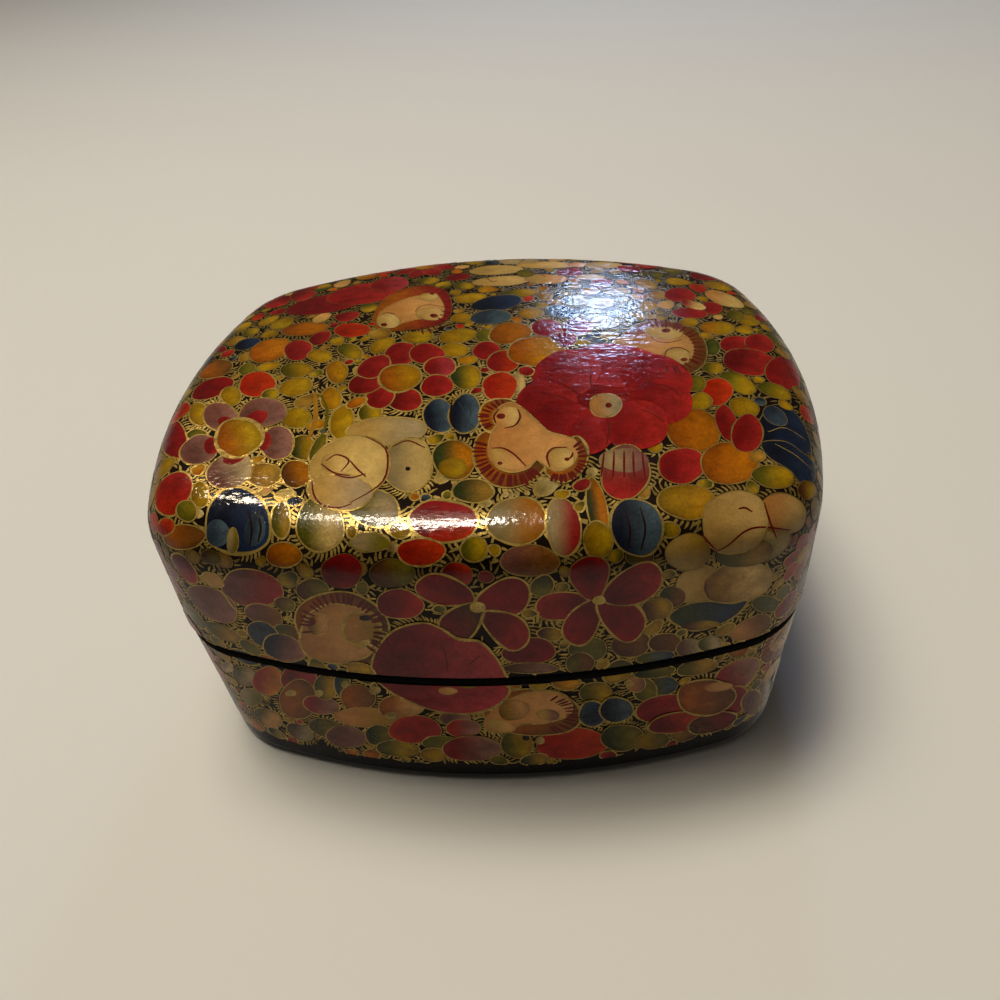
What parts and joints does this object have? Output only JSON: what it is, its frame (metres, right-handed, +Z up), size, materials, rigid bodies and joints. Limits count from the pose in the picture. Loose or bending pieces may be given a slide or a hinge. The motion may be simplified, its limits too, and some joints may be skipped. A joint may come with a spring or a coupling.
{
  "type": "trinket box",
  "caption": "Small lidded box with bowed walls and rounded corners: a domed lift-off lid slides over a collar inside the base. Painted and lacquered papier-mache.",
  "frame": {"origin": "centre of the flat face the box stands on", "axes": "+X along the length, +Y from front to back, +Z up out of the lid"},
  "size_m": [0.1, 0.084, 0.054],
  "materials": {
    "lid_lacquer": "painted papier-mache under clear gloss lacquer",
    "base_lacquer": "painted papier-mache under clear gloss lacquer",
    "collar_lacquer": "black lacquer over papier-mache, satin"
  },
  "bodies": {
    "base": {"base_shell": "base_lacquer", "base_collar": "collar_lacquer"},
    "lid": {"lid_shell": "lid_lacquer"}
  },
  "joints": [
    {"name": "lid_lift", "type": "slide", "parent": "base", "child": "lid", "axis": [0, 0, 1], "range_m": [0, 0.06]}
  ]
}
